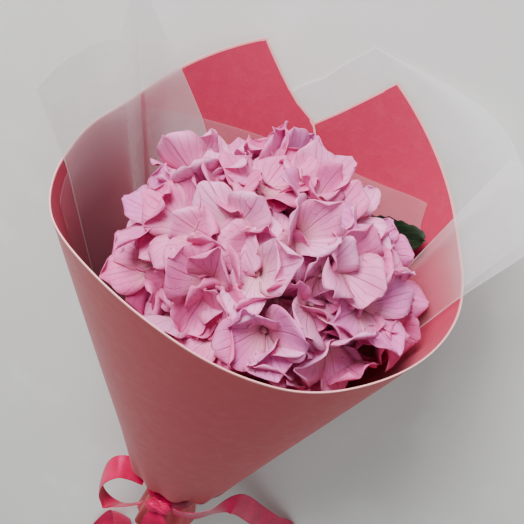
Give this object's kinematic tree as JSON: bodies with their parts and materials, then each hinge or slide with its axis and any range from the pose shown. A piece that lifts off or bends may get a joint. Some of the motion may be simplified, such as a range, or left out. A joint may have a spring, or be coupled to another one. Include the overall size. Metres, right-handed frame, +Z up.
{
  "type": "wrapped hydrangea bouquet",
  "caption": "One pink mophead hydrangea on its stem, rolled in a matte pink sheet lined with frosted film and tied at the waist with a satin ribbon; it lies on its back",
  "frame": {"origin": "on the floor under the middle of the overall box, with the bouquet lying on its back", "axes": "+Z up; the bouquet's axis runs along Y, with the opening toward -Y and the stem end toward +Y; X across"},
  "size_m": [0.218, 0.444, 0.1593],
  "materials": {
    "sepal": "soft matte petals",
    "leaf": "waxy dark leaf",
    "stem": "green woody stem",
    "wrap": "matte flower wrap with a pale border line",
    "film": "frosted translucent film",
    "ribbon": "glossy satin"
  },
  "bodies": {
    "root": {"cyme_01": "sepal", "cyme_02": "sepal", "cyme_03": "sepal", "cyme_04": "sepal", "cyme_05": "sepal", "cyme_06": "sepal", "cyme_07": "sepal", "cyme_08": "sepal", "cyme_09": "sepal", "cyme_10": "sepal", "cyme_11": "sepal", "cyme_12": "sepal", "cyme_13": "sepal", "cyme_14": "sepal", "cyme_15": "sepal", "film_back": "film", "film_left": "film", "film_lining": "film", "film_right": "film", "leaf_lower": "leaf", "leaf_upper": "leaf", "ribbon_band": "ribbon", "ribbon_knot": "ribbon", "ribbon_loop": "ribbon", "ribbon_tail_front": "ribbon", "ribbon_tail_side": "ribbon", "stem": "stem", "wrap": "wrap"}
  },
  "joints": []
}
